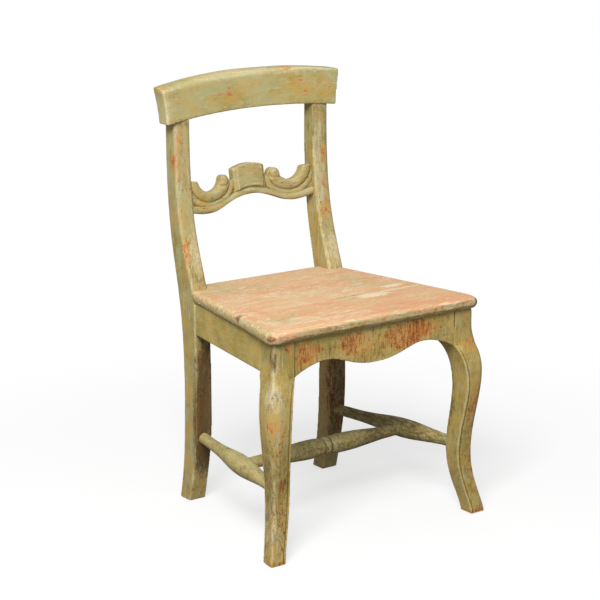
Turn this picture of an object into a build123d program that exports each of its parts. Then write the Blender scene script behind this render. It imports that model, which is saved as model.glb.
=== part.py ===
from build123d import *
from math import atan, cos, sin
import os

# A painted wooden side chair: a sawn and carved frame, a seat of two boards and three
# turned stretchers, joined with pegged mortise and tenon joints and bored sockets.
# Sizes in mm. X runs across the chair, Y from its front to its back, Z up from the
# floor. While it is built, Y = 0 is the front face of the front legs' top blocks.

# ---- Driving dimensions: frame ----------------------------------------------------
seat_height = 445             # floor to the seat's top
front_width = 481             # over the outer faces of the front legs' blocks
rear_width = 377              # over the outer faces of the rear posts
frame_depth = 347             # front legs' faces to the rear posts' front faces
back_height = 333             # seat to the crest rail's lower corners
stretcher_height = 138        # floor to the stretchers' axes

# Seat
seat_thickness = 23
seat_front_overhang = 13      # past the front legs
seat_side_overhang = 10       # past the front legs, at the sides
seat_post_overhang = 2        # past the rear posts, at the sides
seat_tail = 49                # of the tail between the posts, behind their front faces
seat_corner_radius = 20
seat_edge_radius = 9
front_board_width = 151       # front edge to the joint between the boards

# Rear posts: places of the front and back faces of the sawn side profile, behind the
# front face at the underside of the seat
post_width = 37.5
post_foot_front = 28
post_foot_back = 63
post_shin_front = 1
post_shin_back = 44
post_hip_back = 56            # at the underside of the seat
post_bend_rise = 96           # the bend's height above the seat
post_bend_front = 41
post_bend_back = 82
post_rake = 0.3               # slope of the front face where it leaves the seat
post_foot_rake = 0.25         # slope of both faces at the floor
post_top_front = 65
post_top_back = 97
post_chamfer = 4.5            # along the front edges above the seat

# Front legs: a square block, then a curve that runs out along the diagonal. A station
# is (height, reach, width, radius of the front corner); its height is a share of the
# height of the curve, and its reach is how far the leg stands out from the block, along
# X and along Y alike.
leg_block = 48
leg_block_height = 70
leg_block_radius = 3
leg_hip = (0.926, 14, 49.5, 10)
leg_knee = (0.795, 21, 48.5, 20)
leg_calf = (0.582, 12, 42, 16)
leg_ankle = (0.369, 3, 37, 7)
leg_instep = (0.17, 9.5, 34, 4)
leg_toe = (0, 22.5, 33, 3)

# Aprons
apron_thickness = 20
side_apron_height = 65
side_apron_set_in = 3         # from the rear posts' outer faces
rear_apron_set_in = 12        # from the rear posts' back faces
front_apron_thickness = 22
arch_offset = 115             # from the middle of the front apron to the top of each arch
arch_depth = 48               # of the front apron at the arches
pendant_depth = 71            # of the front apron at its middle
arch_slope = 0.55             # of the front apron's lower edge where it leaves the legs

# Back: the crest rail and the splat share one slight hollow to the front.
back_radius = 1200
crest_lap = 4                 # the rail stands this far in front of the posts
crest_bottom_thickness = 30
crest_top_thickness = 36
crest_rise = 88               # lower corners to the top edge, at the middle
crest_end_rise = 71.5         # lower corners to the top edge, at the ends
crest_roll_height = 12        # the top edge rolls down to the front
crest_roll_depth = 17
crest_roll_slope = 0.1        # of the top edge where the roll begins
crest_sections = 7            # that the bent blank is drawn through
crest_bottom_half = 206       # middle to the lower corners
crest_top_half = 215          # middle to the upper corners
crest_end_hollow = 2          # of the sawn ends
crest_arch = 12               # of the underside
crest_shift = 3               # of the rail to the left, as it sits askew
crest_cant = 1.5              # degrees, low on the left

# Splat: heights are above its lowest point.
splat_rise = 141              # seat to the splat's lowest point
splat_thickness = 15
splat_set_back = 11           # its ground behind the posts' front faces
splat_lean = 7                # degrees, backward
splat_cant = 1.6              # degrees, low on the left
splat_trim = 5                # cut off each end of the blank to fit the posts
lobe_offset = 100             # from the middle to the lowest points
splat_end_rise = 8            # of the lower edge at the posts
splat_arch = 26               # of the lower edge at the middle
splat_end_slope = 0.3         # of the lower edge at the posts
splat_relief = 5              # of the moulding and the scrolls
moulding_width = 15
scroll_radius = 30            # of the hollow inside each scroll
scroll_offset = 100
scroll_rise = 74              # of the hollow's centre
scroll_ridge = 17             # width of the ridge round the hollow
scroll_tip = 69               # height of the scrolls at the posts
scroll_tip_radius = 6
curl_radius = 12.5
curl_offset = 61
curl_rise = 61
tablet_half = 38.5
tablet_panel_half = 30
tablet_shoulder = 82
tablet_crown = 90.5
tablet_relief = 9

# Turned stretchers: diameters and places along their axes
stretcher_end = 21            # diameter in the bored sockets
socket_depth = 16
side_swell = 38
side_shoulder = 26            # diameter before and behind the swell
side_shoulder_offset = 80
cross_place = 164             # cross stretcher behind the front legs' faces
cross_swell = 37
cross_swell_offset = 38
cross_neck = 29
cross_bead = 33
cross_bead_length = 12
cross_neck_slope = 0.4        # of the swells where they meet the bead

# Joints
tenon_thickness = 9
tenon_length = 22
tenon_shoulder = 8            # of the rail above and below a tenon
tenon_inset = 6               # from a rail's outer face to its tenon
splat_tenon_length = 14
splat_tenon_low = 14
splat_tenon_high = 56
crest_tenon_width = 20
crest_tenon_thickness = 12
crest_tenon_height = 36
joint_gap = 0.15              # around tenons, dowels and pegs
notch_gap = 0.3               # between the seat and the posts
peg_diameter = 7
peg_length = 29
seat_peg_diameter = 8
seat_peg_length = 48
front_peg_offset = 150        # of the seat pegs in the front apron
rear_peg_offset = 90          # of the seat pegs in the rear apron
side_peg_places = (100, 255)  # of the seat pegs in the side aprons, behind the legs' faces
dowel_diameter = 8
dowel_length = 50
dowel_offset = 140
corner_block_height = 34
corner_block_reach = 40       # along the aprons

# ---- Worked out from the driving dimensions ---------------------------------------
frame_top = seat_height - seat_thickness
front_half = front_width / 2
post_outer = rear_width / 2
post_inner = post_outer - post_width
post_middle = post_outer - post_width / 2
splay = (front_half - post_outer + side_apron_set_in) / frame_depth
splay_cosine = cos(atan(splay))
leg_inner = front_half - leg_block
block_bottom = frame_top - leg_block_height
apron_bottom = frame_top - side_apron_height
bend_height = seat_height + post_bend_rise
crest_height = seat_height + back_height
splat_height = seat_height + splat_rise
hip_back = frame_depth + post_hip_back
shin_front = frame_depth + post_shin_front
top_front = frame_depth + post_top_front
top_back = frame_depth + post_top_back
rear_apron_back = hip_back - rear_apron_set_in
rear_apron_front = rear_apron_back - apron_thickness
tenon_low = apron_bottom + tenon_shoulder
tenon_high = frame_top - tenon_shoulder
peg_height = (tenon_low + tenon_high) / 2
seat_back = frame_depth + seat_tail
post_top = crest_height + crest_arch
seat_joint = front_board_width - seat_front_overhang
crest_front = top_front - crest_lap + post_middle**2 / (2 * back_radius)
crest_tenon_middle = top_front - crest_lap + crest_bottom_thickness / 2
saw_depth = 2 * top_back    # more than the chair's depth, for cuts right through
saw_height = 2 * crest_height   # more than the chair's height


# ---- Helpers -----------------------------------------------------------------------
def mirrored(shape):
    """The same piece on the other side of the chair."""
    return mirror(shape, Plane.YZ)


def both(*shapes):
    """Right-hand pieces and their mirror images."""
    return [*shapes, *(mirrored(shape) for shape in shapes)]


def prism(outline, bottom, top):
    """Upright prism over a plan outline."""
    face = Face(Polyline(*outline, close=True))
    return Pos(0, 0, bottom) * extrude(face, top - bottom, dir=(0, 0, 1))


def bar(x_range, y_range, z_range):
    """Box between limits along each axis."""
    x, y, z = [(low + high) / 2 for low, high in (x_range, y_range, z_range)]
    width, depth, height = [high - low for low, high in (x_range, y_range, z_range)]
    return Pos(x, y, z) * Box(width, depth, height)


def rod(start, end, diameter):
    """Round rod from one point to another."""
    run = Vector(*end) - Vector(*start)
    return Plane(start, z_dir=run) * extrude(Circle(diameter / 2), run.length)


def sawn(outline, depth):
    """Board whose front view is an outline drawn as (x, height), sawn both ways in Y."""
    return Rot(X=90) * extrude(outline, depth, both=True)


def side_line(y, inset=0):
    """X of the frame's splayed side, at a distance inside its outer face."""
    return front_half - splay * y - inset / splay_cosine


def side_board(outer, inner, front, back, bottom, top):
    """Board along the frame's splayed side, between two distances inside its face."""
    outline = [
        (side_line(front, outer), front),
        (side_line(back, outer), back),
        (side_line(back, inner), back),
        (side_line(front, inner), front),
    ]
    return prism(outline, bottom, top)


# ---- Tenons on the right; a mortise is the tenon with a gap --------------------------
def side_apron_tenons(gap=0):
    """Both tenons of the side apron."""
    sides = (tenon_inset - gap, tenon_inset + tenon_thickness + gap)
    heights = (tenon_low - gap, tenon_high + gap)
    front = side_board(*sides, leg_block - tenon_length - gap, leg_block, *heights)
    back = side_board(*sides, frame_depth, frame_depth + tenon_length + gap, *heights)
    return [front, back]


def front_apron_tenon(gap=0):
    """Right tenon of the front apron."""
    across = (leg_inner, leg_inner + tenon_length + gap)
    deep = (tenon_inset - gap, tenon_inset + tenon_thickness + gap)
    return bar(across, deep, (tenon_low - gap, tenon_high + gap))


def rear_apron_tenon(gap=0):
    """Right tenon of the rear apron."""
    across = (post_inner, post_inner + tenon_length + gap)
    back = rear_apron_back - tenon_inset
    deep = (back - tenon_thickness - gap, back + gap)
    return bar(across, deep, (tenon_low - gap, tenon_high + gap))


def crest_tenon(gap=0):
    """Tenon on top of the right rear post, drawn from inside the post."""
    half_width = crest_tenon_width / 2 + gap
    half_thickness = crest_tenon_thickness / 2 + gap
    across = (post_middle - half_width, post_middle + half_width)
    deep = (crest_tenon_middle - half_thickness, crest_tenon_middle + half_thickness)
    heights = (post_top - crest_tenon_height, crest_height + crest_tenon_height + gap)
    return bar(across, deep, heights)


def splat_tenon(gap=0):
    """Right tenon of the splat, leaning with it."""
    across = (post_inner, post_inner + splat_tenon_length + gap)
    middle = splat_thickness / 2 - post_inner**2 / (2 * back_radius)
    half = tenon_thickness / 2 + gap
    heights = (splat_tenon_low - gap, splat_tenon_high + gap)
    return splat_place() * bar(across, (middle - half, middle + half), heights)


def splat_place():
    """Where the splat stands: its ground's middle, at its lowest point, leaning back."""
    middle_height = splat_height + moulding_width
    hollow = post_inner**2 / (2 * back_radius)
    ground = post_front_at(middle_height) + splat_set_back + hollow
    pivot = Pos(0, ground, middle_height) * Rot(X=-splat_lean)
    return pivot * Pos(0, 0, -moulding_width)


# ---- Pegs and sockets on the right ----------------------------------------------------
def front_leg_pegs(gap=0):
    """Pegs through the front leg's two joints: the front apron's, then the side apron's."""
    diameter = peg_diameter + 2 * gap
    x = leg_inner + tenon_length / 2
    first = rod((x, -gap, peg_height), (x, peg_length + gap, peg_height), diameter)
    y = leg_block - tenon_length / 2
    face = side_line(y)
    inner = face - peg_length - gap
    second = rod((face + peg_diameter, y, peg_height), (inner, y, peg_height), diameter)
    return [first, second]


def rear_post_pegs(gap=0):
    """Pegs through the rear post's two frame joints: side apron's, then rear apron's."""
    diameter = peg_diameter + 2 * gap
    y = frame_depth + tenon_length / 2
    inner = post_outer - peg_length - gap
    first = rod((post_outer, y, peg_height), (inner, y, peg_height), diameter)
    x = post_inner + tenon_length / 2
    outside = hip_back + peg_diameter
    inner = rear_apron_back - peg_length + peg_diameter - gap
    second = rod((x, outside, peg_height), (x, inner, peg_height), diameter)
    return [first, second]


def crest_peg(gap=0):
    """Peg through the crest rail and the tenon of the rear post."""
    height = crest_height + crest_tenon_height / 2
    front = (post_middle, top_front - peg_length, height)
    back = (post_middle, top_back + peg_length, height)
    return rod(front, back, peg_diameter + 2 * gap)


def splat_peg(gap=0):
    """Peg through the rear post and the splat's tenon, driven from behind."""
    x = post_inner + splat_tenon_length / 2
    height = splat_height + (splat_tenon_low + splat_tenon_high) / 2
    tip = post_front_at(height) + peg_diameter - gap
    return rod((x, tip, height), (x, top_back + peg_length, height), peg_diameter + 2 * gap)


def seat_pegs(gap=0):
    """Pegs through the seat into the right half of the frame."""
    side_middle = apron_thickness / 2
    places = [(side_line(y, side_middle), y) for y in side_peg_places]
    places.append((front_peg_offset, front_apron_thickness / 2))
    places.append((rear_peg_offset, rear_apron_front + side_middle))
    bottom = seat_height - seat_peg_length - gap
    diameter = seat_peg_diameter + 2 * gap
    return [rod((x, y, bottom), (x, y, seat_height), diameter) for x, y in places]


def stretcher_axis():
    """Points on the right side stretcher's axis where it leaves the leg and the post."""
    reach, width = leg_ankle[1:3]
    leg_x = front_half + reach - width / 2
    leg_y = width - reach
    leg = Vector(leg_x, leg_y, stretcher_height)
    post = Vector(post_middle, shin_front, stretcher_height)
    return leg, post


def cross_axis_end():
    """Point where the cross stretcher leaves the right side stretcher."""
    leg, post = stretcher_axis()
    share = (cross_place - leg.Y) / (post.Y - leg.Y)
    return leg + (post - leg) * share - Vector(side_swell / 2, 0, 0)


def side_sockets(gap=0):
    """Bored sockets of the side stretcher, in the front leg and in the rear post."""
    leg, post = stretcher_axis()
    along = (post - leg).normalized()
    diameter = stretcher_end + 2 * gap
    depth = socket_depth + gap
    return [
        rod(leg - along * depth, leg + along * depth, diameter),
        rod(post - along * depth, post + along * depth, diameter),
    ]


def cross_socket(gap=0):
    """Bored socket of the cross stretcher in the right side stretcher."""
    mouth = cross_axis_end()
    depth = Vector(socket_depth + gap, 0, 0)
    return rod(mouth - depth, mouth + depth, stretcher_end + 2 * gap)


# ---- Rear posts ----------------------------------------------------------------------
def post_front_edge():
    """Front edge of the post's side profile above the frame's top."""
    return Spline(
        (0, 0, frame_top),
        (0, post_bend_front, bend_height),
        (0, post_top_front, post_top),
        tangents=[(0, post_rake, 1), (0, 0, 1)],
    )


def post_front_at(height):
    """Place of the post's front edge at a height above the frame's top."""
    edge = post_front_edge()
    low, high = 0.0, 1.0
    while high - low > 1e-6:
        middle = (low + high) / 2
        if (edge @ middle).Z < height:
            low = middle
        else:
            high = middle
    return frame_depth + (edge @ low).Y


def post_blank():
    """Right rear post before its joints: sawn to its profile, then chamfered."""
    upper = post_front_edge()
    lower = Spline(
        (0, post_foot_front, 0),
        (0, post_shin_front, stretcher_height),
        (0, 0, apron_bottom),
        tangents=[(0, -post_foot_rake, 1), (0, 0, 1)],
    )
    back = Spline(
        (0, post_top_back, post_top),
        (0, post_bend_back, bend_height),
        (0, post_hip_back, frame_top),
        (0, post_shin_back, stretcher_height),
        (0, post_foot_back, 0),
        tangents=[(0, 0, -1), (0, post_foot_rake, -1)],
    )
    edges = [
        lower,
        Line(lower @ 1, upper @ 0),
        upper,
        Line(upper @ 1, back @ 0),
        back,
        Line(back @ 1, lower @ 0),
    ]
    profile = Pos(post_inner, frame_depth, 0) * Face(Wire(edges))
    post = extrude(profile, post_width, dir=(1, 0, 0))
    raked = [face for face in post.faces() if face.center().Z > seat_height]
    front = min(raked, key=lambda face: face.center().Y)
    arrises = [edge for edge in front.edges() if edge.length > 2 * post_width]
    return chamfer(arrises, post_chamfer)


def rear_posts():
    """Right and left rear posts; each shoulder is cut to the crest rail's underside."""
    cuts = side_apron_tenons(joint_gap)[1:] + side_sockets(joint_gap)[1:]
    cuts += rear_post_pegs(joint_gap) + [crest_peg(joint_gap), splat_peg(joint_gap)]
    cuts += [rear_apron_tenon(joint_gap), splat_tenon(joint_gap)]
    rail = crest_place() * sawn(crest_outline(), saw_depth)
    right = post_blank() - rail + crest_tenon() - cuts
    left = mirrored(post_blank()) - rail + mirrored(crest_tenon())
    return right, left - [mirrored(cut) for cut in cuts]


# ---- Front legs ----------------------------------------------------------------------
def leg_section(height, reach, width, radius):
    """Level section of the right front leg, its outer front corner rounded."""
    x, y = front_half + reach, -reach
    outline = Polyline(
        (x, y),
        (x - splay * width, y + width),
        (x - width, y + width),
        (x - width, y),
        close=True,
    )
    section = Face(outline)
    corner = min(section.vertices(), key=lambda vertex: vertex.Y - vertex.X)
    return Pos(0, 0, height) * fillet(corner, radius)


def leg_blank():
    """Right front leg before its joints."""
    block = leg_section(block_bottom, 0, leg_block, leg_block_radius)
    stations = [leg_toe, leg_instep, leg_ankle, leg_calf, leg_knee, leg_hip]
    sections = [leg_section(share * block_bottom, *sizes) for share, *sizes in stations]
    curve = loft(sections + [block])
    return curve + extrude(block, leg_block_height, dir=(0, 0, 1))


def front_leg():
    """Right front leg with its mortises, socket and peg holes."""
    cuts = side_apron_tenons(joint_gap)[:1] + side_sockets(joint_gap)[:1]
    cuts += front_leg_pegs(joint_gap) + [front_apron_tenon(joint_gap)]
    return leg_blank() - cuts


# ---- Aprons --------------------------------------------------------------------------
def front_apron():
    """Front apron: two arches with a pendant between them, and a tenon at each end."""
    end = (leg_inner, block_bottom)
    arch = (arch_offset, frame_top - arch_depth)
    pendant = (0, frame_top - pendant_depth)
    lower_edge = Spline(end, arch, pendant, tangents=[(-1, arch_slope), (-1, 0)])
    half = [
        lower_edge,
        Line(pendant, (0, frame_top)),
        Line((0, frame_top), (leg_inner, frame_top)),
        Line((leg_inner, frame_top), end),
    ]
    outline = Face(Wire(half))
    outline = outline + mirror(outline, Plane.YZ)
    board = sawn(outline, front_apron_thickness)
    board = board & bar((-front_half, front_half), (0, front_apron_thickness), (0, seat_height))
    board = board + both(front_apron_tenon())
    return board - both(front_leg_pegs(joint_gap)[0], *seat_pegs(joint_gap))


def rear_apron():
    """Rear apron: a straight rail with a tenon at each end."""
    rail = bar(
        (-post_inner, post_inner),
        (rear_apron_front, rear_apron_back),
        (apron_bottom, frame_top),
    )
    rail = rail + both(rear_apron_tenon())
    return rail - both(rear_post_pegs(joint_gap)[1], *seat_pegs(joint_gap))


def side_apron():
    """Right side apron: a straight rail that follows the frame's splay."""
    rail = side_board(0, apron_thickness, leg_block, frame_depth, apron_bottom, frame_top)
    rail = rail + side_apron_tenons()
    holes = [front_leg_pegs(joint_gap)[1], rear_post_pegs(joint_gap)[0]]
    return rail - holes - seat_pegs(joint_gap)


def front_corner_block():
    """Glue block behind the right front leg, under the seat."""
    outline = [
        (leg_inner - corner_block_reach, front_apron_thickness),
        (leg_inner, front_apron_thickness),
        (leg_inner, leg_block),
        (side_line(leg_block, apron_thickness), leg_block),
        (
            side_line(leg_block + corner_block_reach, apron_thickness),
            leg_block + corner_block_reach,
        ),
    ]
    return prism(outline, frame_top - corner_block_height, frame_top)


def rear_corner_block():
    """Glue block in front of the right rear post, under the seat."""
    outline = [
        (post_inner - corner_block_reach, rear_apron_front),
        (post_inner, rear_apron_front),
        (post_inner, frame_depth),
        (side_line(frame_depth, apron_thickness), frame_depth),
        (
            side_line(frame_depth - corner_block_reach, apron_thickness),
            frame_depth - corner_block_reach,
        ),
    ]
    return prism(outline, frame_top - corner_block_height, frame_top)


# ---- Seat ----------------------------------------------------------------------------
def seat_side(y):
    """X of the seat's right side."""
    front = front_half + seat_side_overhang
    back = post_outer + seat_post_overhang
    return front + (back - front) * y / frame_depth


def seat_blank():
    """The whole seat with its rounded edges, notched round the rear posts."""
    front = -seat_front_overhang
    outline = Polyline(
        (seat_side(front), front),
        (seat_side(seat_back), seat_back),
        (-seat_side(seat_back), seat_back),
        (-seat_side(front), front),
        close=True,
    )
    plan = Face(outline)
    corners = plan.vertices().sort_by(Axis.Y)[:2]
    plan = Pos(0, 0, frame_top) * fillet(corners, seat_corner_radius)
    seat = extrude(plan, seat_thickness, dir=(0, 0, 1))
    rims = seat.faces().sort_by(Axis.Z)[0].edges() + seat.faces().sort_by(Axis.Z)[-1].edges()
    seat = fillet(rims, seat_edge_radius)
    post = post_blank()
    notches = [Pos(x, -notch_gap, 0) * post for x in (-notch_gap, notch_gap)]
    beside = bar((post_outer, front_width), (frame_depth - notch_gap, saw_depth), (0, post_top))
    return seat - both(*notches, beside)


def seat_dowels(gap=0):
    """Dowels in the joint between the two boards."""
    height = seat_height - seat_thickness / 2
    half = dowel_length / 2 + gap
    return [
        rod(
            (x, seat_joint - half, height),
            (x, seat_joint + half, height),
            dowel_diameter + 2 * gap,
        )
        for x in (-dowel_offset, 0, dowel_offset)
    ]


def seat_boards():
    """The front and the rear board of the seat."""
    seat = seat_blank() - seat_dowels(joint_gap) - both(*seat_pegs(joint_gap))
    across = (-front_width, front_width)
    front = seat & bar(across, (-saw_depth, seat_joint), (0, post_top))
    rear = seat & bar(across, (seat_joint, saw_depth), (0, post_top))
    return front, rear


# ---- Back ----------------------------------------------------------------------------
def hollow_slab(front, back, height):
    """Upright slab between two depths behind the hollow's face, which passes the origin."""
    ring = Circle(back_radius + back) - Circle(back_radius + front)
    window = Rectangle(2 * front_width, back_radius)
    plan = Pos(0, -back_radius) * ring & window
    return Pos(0, 0, -height) * extrude(plan, 2 * height, dir=(0, 0, 1))


def crest_section(x):
    """Section of the crest rail, square to the hollow at a place across the chair."""
    turn = x / back_radius
    rise = crest_rise - (crest_rise - crest_end_rise) * (x / crest_top_half) ** 2
    origin = (back_radius * sin(turn), back_radius * (cos(turn) - 1), 0)
    plane = Plane(origin, x_dir=(sin(turn), cos(turn), 0), z_dir=(cos(turn), -sin(turn), 0))
    top_front = (crest_top_thickness - crest_roll_depth, rise)
    ridge = (0, rise - crest_roll_height)
    edges = [
        Line((0, 0), (crest_bottom_thickness, 0)),
        Line((crest_bottom_thickness, 0), (crest_top_thickness, rise)),
        Line((crest_top_thickness, rise), top_front),
        Spline(top_front, ridge, tangents=[(-1, -crest_roll_slope), (0, -1)]),
        Line(ridge, (0, 0)),
    ]
    return plane * Face(Wire(edges))


def crest_outline():
    """Front view of the crest rail above its arched underside, (x, height)."""
    low = (crest_bottom_half, 0)
    high = (crest_top_half, crest_end_rise)
    hollow = ((crest_bottom_half + crest_top_half) / 2 - crest_end_hollow, crest_end_rise / 2)
    above = (crest_top_half, 2 * crest_rise)
    edges = [
        TangentArc((0, crest_arch), low, tangent=(1, 0)),
        ThreePointArc(low, hollow, high),
        Line(high, above),
        Line(above, (0, 2 * crest_rise)),
        Line((0, 2 * crest_rise), (0, crest_arch)),
    ]
    half = Face(Wire(edges))
    return half + mirrored(half)


def crest_place():
    """Where the crest rail stands: the middle of its lower corners, tipped sideways."""
    return Pos(-crest_shift, crest_front, crest_height) * Rot(Y=-crest_cant)


def crest_blank():
    """Crest rail before its joints: a wedge in section, hollow to the front, sawn to shape."""
    blank_half = crest_top_half + crest_top_thickness
    spacing = 2 * blank_half / (crest_sections - 1)
    stations = [step * spacing - blank_half for step in range(crest_sections)]
    bent = loft([crest_section(x) for x in stations])
    return crest_place() * (bent & sawn(crest_outline(), saw_depth))


def crest_rail():
    """Crest rail with its mortises and peg holes."""
    return crest_blank() - both(crest_tenon(joint_gap)) - both(crest_peg(joint_gap))


def splat_lower_edge(rise=0):
    """Right half of the splat's lower edge, or of the moulding's top edge above it."""
    return Spline(
        (0, splat_arch + rise),
        (lobe_offset, rise),
        (post_inner + splat_trim, splat_end_rise + rise),
        tangents=[(1, 0), (1, splat_end_slope)],
    )


def splat_above(edge):
    """Right half of the blank above a curved edge."""
    start, end = edge @ 0, edge @ 1
    edges = [
        edge,
        Line((end.X, end.Y), (end.X, tablet_crown)),
        Line((end.X, tablet_crown), (0, tablet_crown)),
        Line((0, tablet_crown), (start.X, start.Y)),
    ]
    return Face(Wire(edges))


def tablet_outline():
    """Right half of the tablet, drawn down to the splat's lowest point."""
    shoulder = (tablet_half, tablet_shoulder)
    edges = [
        Line((0, 0), (tablet_half, 0)),
        Line((tablet_half, 0), shoulder),
        TangentArc((0, tablet_crown), shoulder, tangent=(1, 0)),
        Line((0, tablet_crown), (0, 0)),
    ]
    return Face(Wire(edges))


def splat_areas():
    """Areas of the splat's right half in front view, each with its relief."""
    hollow = Pos(scroll_offset, scroll_rise) * Circle(scroll_radius)
    ridge = Pos(scroll_offset, scroll_rise) * Circle(scroll_radius + scroll_ridge)
    curl = Pos(curl_offset, curl_rise) * Circle(curl_radius)
    below_curl = Rectangle(2 * scroll_offset, 2 * curl_rise)
    tip = Pos(scroll_offset, 0) * Rectangle(saw_depth, 2 * scroll_tip, align=(Align.MIN, Align.CENTER))
    body = below_curl + tip
    whole = splat_above(splat_lower_edge()) & (body + curl + tablet_outline()) - hollow
    corner = whole.vertices().sort_by_distance((scroll_offset + scroll_radius, scroll_tip))[0]
    whole = fillet(corner, scroll_tip_radius)
    above_moulding = splat_above(splat_lower_edge(moulding_width))
    panel = Rectangle(2 * tablet_panel_half, 2 * tablet_crown)
    return [
        (whole, 0),
        (whole - above_moulding, splat_relief),
        (whole & above_moulding & ((ridge & body) + curl), splat_relief),
        (whole & above_moulding & panel, tablet_relief),
    ]


def splat():
    """Carved splat: a moulded lower edge, a tablet and two scrolls that end in curls."""
    layers = [
        sawn(area, saw_depth) & hollow_slab(-relief, splat_thickness, saw_depth)
        for area, relief in splat_areas()
    ]
    half = layers[0] + layers[1:]
    board = splat_place() * Rot(Y=-splat_cant) * (half + mirrored(half))
    board = board & bar((-post_inner, post_inner), (0, saw_depth), (0, saw_height))
    return board + both(splat_tenon()) - both(splat_peg(joint_gap))


# ---- Turned stretchers -----------------------------------------------------------------
def turned(profile):
    """Solid turned about the Z axis from a profile drawn as (radius, place)."""
    start, end = profile[0] @ 0, profile[-1] @ 1
    axis = [
        Line((end.X, end.Y), (0, end.Y)),
        Line((0, end.Y), (0, start.Y)),
        Line((0, start.Y), (start.X, start.Y)),
    ]
    section = Plane.XZ * Face(Wire(profile + axis))
    return revolve(section, Axis.Z)


def side_stretcher():
    """Right side stretcher: swollen where the cross stretcher meets it."""
    leg, post = stretcher_axis()
    along = post - leg
    end = stretcher_end / 2
    middle = along.length * (cross_place - leg.Y) / along.Y
    curve = [
        (end, 0),
        (side_shoulder / 2, middle - side_shoulder_offset),
        (side_swell / 2, middle),
        (side_shoulder / 2, middle + side_shoulder_offset),
        (end, along.length),
    ]
    profile = [
        Line((end, -socket_depth), (end, 0)),
        Spline(curve, tangents=[(0, 1), (0, 1)]),
        Line((end, along.length), (end, along.length + socket_depth)),
    ]
    return Plane(leg, z_dir=along) * turned(profile) - cross_socket(joint_gap)


def cross_stretcher():
    """Cross stretcher: two long swells with a bead between them."""
    end = cross_axis_end()
    radius = stretcher_end / 2
    tip = end.X + socket_depth
    edge = cross_bead_length / 2
    neck = cross_neck / 2
    swell = cross_swell / 2
    profile = [
        Line((radius, -tip), (radius, -end.X)),
        Spline(
            (radius, -end.X),
            (swell, -cross_swell_offset),
            (neck, -edge),
            tangents=[(0, 1), (-cross_neck_slope, 1)],
        ),
        ThreePointArc((neck, -edge), (cross_bead / 2, 0), (neck, edge)),
        Spline(
            (neck, edge),
            (swell, cross_swell_offset),
            (radius, end.X),
            tangents=[(cross_neck_slope, 1), (0, 1)],
        ),
        Line((radius, end.X), (radius, tip)),
    ]
    return Pos(0, end.Y, end.Z) * Rot(Y=90) * turned(profile)


# ---- Assembly --------------------------------------------------------------------------
def pair(name, shape):
    """A right-hand piece and its mirror image, under two names."""
    return {name + "_left": mirrored(shape), name + "_right": shape}


def flush(pegs, timber):
    """Pegs cut flush with the timber's faces."""
    return [peg & timber for peg in pegs]


def chair():
    """Every piece of the chair by name; a group of like pegs shares one name."""
    right_post, left_post = rear_posts()
    front_board, rear_board = seat_boards()
    leg, post = leg_blank(), post_blank()
    pieces = {"rear_post_left": left_post, "rear_post_right": right_post}
    pieces.update(pair("front_leg", front_leg()))
    pieces["crest_rail"] = crest_rail()
    pieces["carved_splat"] = splat()
    pieces["front_apron"] = front_apron()
    pieces["rear_apron"] = rear_apron()
    pieces.update(pair("side_apron", side_apron()))
    pieces["seat_board_front"] = front_board
    pieces["seat_board_rear"] = rear_board
    pieces.update(pair("side_stretcher", side_stretcher()))
    pieces["cross_stretcher"] = cross_stretcher()
    pieces.update(pair("corner_block_front", front_corner_block()))
    pieces.update(pair("corner_block_rear", rear_corner_block()))
    pieces["seat_joint_dowels"] = seat_dowels()
    pieces["crest_rail_pegs"] = flush(both(crest_peg()), crest_blank())
    pieces["splat_pegs"] = both(*flush([splat_peg()], post))
    pieces["front_leg_pegs"] = both(*flush(front_leg_pegs(), leg))
    pieces["rear_post_pegs"] = both(*flush(rear_post_pegs(), post))
    pieces["seat_pegs"] = both(*seat_pegs())
    return pieces


def main():
    pieces = {}
    for name, shape in chair().items():
        solids = shape if isinstance(shape, list) else [shape]
        pieces[name] = [solid for item in solids for solid in item.solids()]
    everything = Compound([solid for solids in pieces.values() for solid in solids])
    box = everything.bounding_box()
    to_origin = Pos(-box.center().X, -box.center().Y, -box.min.Z)
    os.makedirs("parts", exist_ok=True)
    for name, solids in pieces.items():
        placed = [to_origin * solid for solid in solids]
        shape = placed[0] if len(placed) == 1 else Compound(placed)
        export_step(shape, f"parts/{name}.step")


main()
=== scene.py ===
import math

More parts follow.
